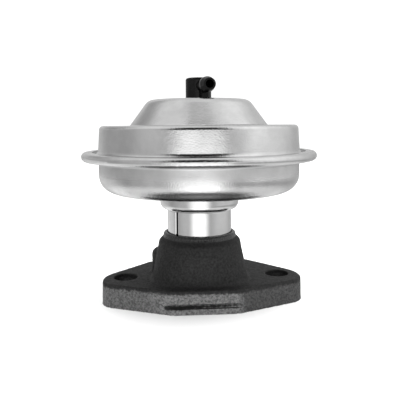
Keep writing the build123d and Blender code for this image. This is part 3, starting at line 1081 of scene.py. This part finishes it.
@dataclass
class VacuumHousing:
    """The two pressed-steel halves, the diaphragm between them and the spring above it."""

    # deep-drawn sheet, zinc plated: bright and sharply shaded, with a faint crawling satin, and
    # duller where the die has scored the wall under the rim
    lower: Steel = Steel(
        "bright_plated_bowl",
        colour="D0D0D0",
        dull="C2C2C2",
        roughness=0.14,
        haze=0.08,
        mark_spacing=mm(0.6),
        mark_depth=mm(0.003),
        wave=mm(0.015),
        satin=mm(0.065),
        scoring=Scoring(mm(50.3), mm(54.3)),
    )
    # the same sheet and plating, pressed less deeply: a finer, more even satin
    cover: Steel = Steel(
        "satin_plated_cover",
        colour="D0D0D0",
        dull="C2C2C2",
        roughness=0.15,
        haze=0.08,
        mark_spacing=mm(0.6),
        mark_depth=mm(0.003),
        wave=mm(0.015),
        satin=mm(0.045),
    )
    # nitrile rubber on woven cloth: dark, matt, with the weave's faint texture
    film: MouldedPart = MouldedPart(
        "fabric_backed_rubber", "262626", "3A3A3A", roughness=0.65, grain=mm(0.4), relief=mm(0.04)
    )
    # spring wire, phosphated: dark grey with a dull shine
    wire: Steel = Steel(
        "phosphated_spring_wire", colour="6C6C70", dull="585A5C", roughness=0.42, haze=0.12
    )
    # pressed steel, zinc plated and chromated: faintly yellow, softly bright
    plate: Steel = Steel(
        "yellowish_plated_plate", colour="B9B29E", dull="A39C88", roughness=0.34
    )
    # the valve's full lift, and the two pieces copied as joined meshes on the housing
    lift: float = mm(6.0)
    rolling_film: FlexingPart = FlexingPart("diaphragm", "diaphragm_rubber", mm(55.87), mm(49.67))
    coil: FlexingPart = FlexingPart("main_spring", "spring_steel", mm(76.52), mm(51.02))

    def build(self, nodes: Nodes) -> None:
        """Dresses the housing's nodes, and puts joined copies of its diaphragm and spring on the
        housing.

        Args:
            nodes: The CAD nodes by name.
        """
        dress(nodes["lower_housing"], self.lower.material())
        dress(nodes["upper_housing"], self.cover.material())
        for part, finish in ((self.rolling_film, self.film), (self.coil, self.wire)):
            dress(nodes[part.node], finish.material())
            part.build(nodes[part.node], self.lift)
        plate = self.plate.material()
        for name in (
            "lower_plate",
            "upper_plate",
            "plate_washer",
            "spring_locator",
            "elbow_push_nut",
        ):
            dress(nodes[name], plate)


@dataclass
class Pintle:
    """The moving stem and pintle."""

    # stem steel, ground: smooth and bright, with very fine marks round it
    ground: Steel = Steel(
        "ground_stem_steel",
        colour="BDBDBB",
        dull="ABABA9",
        roughness=0.24,
        mark_spacing=mm(0.15),
        mark_depth=mm(0.002),
    )
    # heat-resisting steel, turned and hardened: brownish grey, with a dull shine
    hard: Steel = Steel(
        "hardened_pintle_steel",
        colour="96928C",
        dull="7C7872",
        roughness=0.4,
        mark_spacing=mm(0.2),
        mark_depth=mm(0.006),
    )

    def build(self, nodes: Nodes) -> None:
        """Dresses the moving nodes.

        Args:
            nodes: The CAD nodes by name.
        """
        dress(nodes["valve_stem"], self.ground.material())
        dress(nodes["pintle"], self.hard.material())


@dataclass
class VacuumElbow:
    """The moulded hose elbow and its seal."""

    # glass-filled nylon, injection moulded and black: deep black, with a thin smooth gloss that
    # shows only as narrow light lines
    nylon: MouldedPart = MouldedPart(
        "moulded_black_nylon",
        "060606",
        "101010",
        roughness=0.2,
        grain=mm(0.4),
        relief=mm(0.004),
        specular=0.17,
    )
    # moulded rubber: black and matt
    rubber: MouldedPart = MouldedPart("seal_rubber", "141414", "202020", roughness=0.6)

    def build(self, nodes: Nodes) -> None:
        """Dresses the elbow's nodes.

        Args:
            nodes: The CAD nodes by name.
        """
        dress(nodes["vacuum_elbow"], self.nylon.material())
        dress(nodes["elbow_seal"], self.rubber.material())


# ---------------------------------------------------------------- studio
@dataclass(frozen=True)
class Softbox:
    """One soft panel of light in the studio's surroundings.

    Attributes:
        azimuth: Its middle, in degrees to the right of straight in front of the valve.
        half_width: Half its width, in degrees.
        elevation: Its middle above the horizon, in degrees.
        half_height: Half its height, in degrees.
        side_fade: Width of its fading sides, in degrees.
        end_fade: Width of its fading top and bottom, in degrees.
        strength: Its brightness, or less than nothing for a dark flag.
    """

    azimuth: float
    half_width: float
    elevation: float
    half_height: float
    side_fade: float
    end_fade: float
    strength: float

    def shine(self, tree: Tree, turn: Socket, rise: Socket, total: Socket) -> Socket:
        """Adds the panel to the light that comes from a direction.

        Args:
            tree: The world's node tree.
            turn: The direction's azimuth, in radians.
            rise: The direction's elevation, in radians.
            total: The light so far.

        Returns:
            The light's socket with the panel in it.
        """
        edges = []
        for angle, middle, half, fade in (
            (turn, self.azimuth, self.half_width, self.side_fade),
            (rise, self.elevation, self.half_height, self.end_fade),
        ):
            away = angle
            for operation, inputs in (("SUBTRACT", {1: math.radians(middle)}), ("ABSOLUTE", {})):
                away = add_node(
                    tree, "ShaderNodeMath", {0: away, **inputs}, operation=operation
                ).outputs["Value"]
            edges.append((away, (math.radians(half + fade / 2), math.radians(half - fade / 2))))
        return add_node(
            tree,
            "ShaderNodeMath",
            {0: within(tree, *edges), 1: self.strength, 2: total},
            operation="MULTIPLY_ADD",
        ).outputs["Value"]


@dataclass(frozen=True)
class Lamp:
    """One square soft lamp that faces the valve and isn't mirrored in it.

    Attributes:
        name: The lamp's name.
        place: Where it hangs, in metres.
        size: Its side, in metres.
        power: Its power, in watts.
        aim: The point that it faces, in metres.
    """

    name: str
    place: Point
    size: float
    power: float
    aim: Point = (0.0, 0.0, mm(40.0))

    def hang(self) -> None:
        """Hangs the lamp in the scene."""
        light = bpy.data.lights.new(self.name, "AREA")
        light.size = self.size
        light.energy = self.power
        lamp = bpy.data.objects.new(self.name, light)
        lamp.location = self.place
        ahead = Vector(self.aim) - Vector(self.place)
        lamp.rotation_euler = ahead.to_track_quat("-Z", "Y").to_euler()
        lamp.visible_glossy = False
        bpy.context.scene.collection.objects.link(lamp)


@dataclass
class Studio:
    """The plain pale floor, the soft light and the camera.

    Attributes:
        floor_radius: Radius of the floor, in metres.
        floor_sides: How many sides its outline has.
        floor_colour: Colour of the floor.
        floor_roughness: Roughness of the floor.
        ambient: Light that comes from the horizon and below.
        zenith: Light that comes from high up.
        zenith_rise: Elevation from which it is the full zenith light, in radians.
        darkest: The least light that comes from anywhere.
        backdrop: Brightness of the white backdrop behind the valve.
        softboxes: The panels that the bright metal mirrors.
        lamps: The lamps that light the floor and the dull surfaces.
        camera_place: Where the camera stands, in metres.
        camera_roll: How far it is rolled, in degrees.
        lens: Its focal length, in millimetres.
        sensor: Its sensor's width, in millimetres.
        shift: How far its view is shifted, in frame widths.
        near: Its nearest distance, in metres.
    """

    floor_radius: float = 0.9
    floor_sides: int = 96
    floor_colour: str = "F4F4F4"
    floor_roughness: float = 0.9
    ambient: float = 0.46
    zenith: float = 0.95
    zenith_rise: float = 1.2
    darkest: float = 0.02
    backdrop: float = 1.15
    softboxes: Tuple[Softbox, ...] = (
        # the big panel in front, from knee height up to the valve's own level
        Softbox(-3.0, 27.0, -22.0, 34.0, 26.0, 8.0, 1.18),
        # its weaker glow on the left
        Softbox(-50.0, 24.0, -4.0, 20.0, 36.0, 16.0, 0.2),
        # the window on the right, its near edge, and its glow round the back
        Softbox(84.0, 38.0, 25.0, 36.0, 50.0, 20.0, 0.48),
        Softbox(54.0, 25.0, 24.0, 26.0, 16.0, 16.0, 0.3),
        # a weak high panel on the left
        Softbox(-90.0, 40.0, 55.0, 20.0, 40.0, 20.0, 0.12),
        # the white table all round, dark close under the valve
        Softbox(0.0, 400.0, -62.0, 34.0, 10.0, 20.0, 0.5),
        Softbox(0.0, 400.0, -80.0, 22.3, 10.0, 8.0, -0.84),
        Softbox(0.0, 400.0, -90.0, 12.0, 10.0, 10.0, 0.24),
        # a dark flag in front, over the big panel
        Softbox(-2.0, 35.0, 38.0, 30.5, 14.0, 6.0, -0.84),
        # a low panel behind on the left
        Softbox(-130.0, 26.0, -22.0, 17.0, 24.0, 12.0, 0.3),
        # a dark doorway behind on the left
        Softbox(-136.0, 18.0, 34.0, 16.0, 16.0, 12.0, -0.26),
        # the pale wall behind
        Softbox(180.0, 40.0, 0.0, 40.0, 40.0, 40.0, 0.14),
        Softbox(-180.0, 40.0, 0.0, 40.0, 40.0, 40.0, 0.14),
    )
    lamps: Tuple[Lamp, ...] = (
        Lamp("front_lamp", (-0.45, -0.85, 0.55), size=0.5, power=3.5),
        Lamp("top_lamp", (0.1, -0.05, 1.3), size=1.6, power=34.0),
    )
    camera_place: Point = (mm(-13.8), mm(-207.5), mm(68.7))
    camera_roll: float = -0.46
    lens: float = 47.15
    sensor: float = 36.0
    shift: Span = (0.00325, -0.19125)
    near: float = mm(10.0)

    def build(self) -> None:
        """Builds the floor, the surroundings, the lamps and the camera."""
        self._floor()
        self._world()
        for lamp in self.lamps:
            lamp.hang()
        self._camera()
        LOG.info("studio has %d panels and %d lamps", len(self.softboxes), len(self.lamps))

    def _floor(self) -> None:
        """Lays a round pale floor of matt white paper under the valve."""
        mesh = bpy.data.meshes.new("studio_floor")
        bm = bmesh.new()
        bmesh.ops.create_circle(
            bm, cap_ends=True, segments=self.floor_sides, radius=self.floor_radius
        )
        bm.to_mesh(mesh)
        bm.free()
        floor = bpy.data.objects.new("studio_floor", mesh)
        bpy.context.scene.collection.objects.link(floor)
        material, _, shader = new_material("matt_white_paper")
        shader.inputs["Base Color"].default_value = linear(self.floor_colour)
        shader.inputs["Roughness"].default_value = self.floor_roughness
        shader.inputs["Specular IOR Level"].default_value = 0.0
        mesh.materials.append(material)
        floor.visible_glossy = False

    def _world(self) -> None:
        """Surrounds the valve with soft grey light, brighter panels and a white backdrop."""
        world = bpy.data.worlds.new("soft_studio")
        bpy.context.scene.world = world
        world.use_nodes = True
        tree = world.node_tree
        tree.nodes.clear()
        way = add_node(tree, "ShaderNodeTexCoord").outputs["Generated"]
        parts = add_node(tree, "ShaderNodeSeparateXYZ", {"Vector": way})
        front = add_node(
            tree, "ShaderNodeMath", {0: parts.outputs["Y"], 1: -1.0}, operation="MULTIPLY"
        ).outputs["Value"]
        turn = add_node(
            tree, "ShaderNodeMath", {0: parts.outputs["X"], 1: front}, operation="ARCTAN2"
        ).outputs["Value"]
        rise = add_node(
            tree, "ShaderNodeMath", {0: parts.outputs["Z"]}, operation="ARCSINE"
        ).outputs["Value"]
        total = add_node(
            tree,
            "ShaderNodeMapRange",
            {
                "Value": rise,
                "From Max": self.zenith_rise,
                "To Min": self.ambient,
                "To Max": self.zenith,
            },
        ).outputs["Result"]
        for box in self.softboxes:
            total = box.shine(tree, turn, rise, total)
        light = add_node(tree, "ShaderNodeMath", {0: total, 1: self.darkest}, operation="MAXIMUM")
        seen = add_node(tree, "ShaderNodeLightPath").outputs["Is Camera Ray"]
        white = linear("FFFFFF")
        studio, paper = (
            add_node(
                tree, "ShaderNodeBackground", {"Color": white, "Strength": strength}
            ).outputs["Background"]
            for strength in (light.outputs["Value"], self.backdrop)
        )
        mixed = add_node(tree, "ShaderNodeMixShader", {0: seen, 1: studio, 2: paper})
        add_node(tree, "ShaderNodeOutputWorld", {"Surface": mixed.outputs["Shader"]})

    def _camera(self) -> None:
        """Sets the camera level, looking at the valve's axis."""
        data = bpy.data.cameras.new("camera")
        data.lens = self.lens
        data.sensor_width = self.sensor
        data.shift_x, data.shift_y = self.shift
        data.clip_start = self.near
        camera = bpy.data.objects.new("camera", data)
        place = Vector(self.camera_place)
        ahead = Vector((-place.x, -place.y, 0.0)).to_track_quat("-Z", "Y")
        roll = Matrix.Rotation(math.radians(self.camera_roll), 4, "Z")
        camera.matrix_world = Matrix.Translation(place) @ ahead.to_matrix().to_4x4() @ roll
        bpy.context.scene.collection.objects.link(camera)
        bpy.context.scene.camera = camera


def main() -> None:
    """Loads the frame, dresses each sub-assembly and sets up the studio."""
    logging.basicConfig(level=logging.INFO, format="%(name)s: %(message)s")
    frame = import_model()
    for body in Body:
        members = frame["record"]["behaviour"]["bodies"][body.value]
        LOG.info("%s carries %s", body.value, ", ".join(sorted(members)))
    for part in (BaseCasting(), StemGuide(), Neck(), VacuumHousing(), Pintle(), VacuumElbow()):
        part.build(frame["nodes"])
    Studio().build()
    bpy.context.scene.view_settings.view_transform = "Standard"


if __name__ == "__main__":
    main()
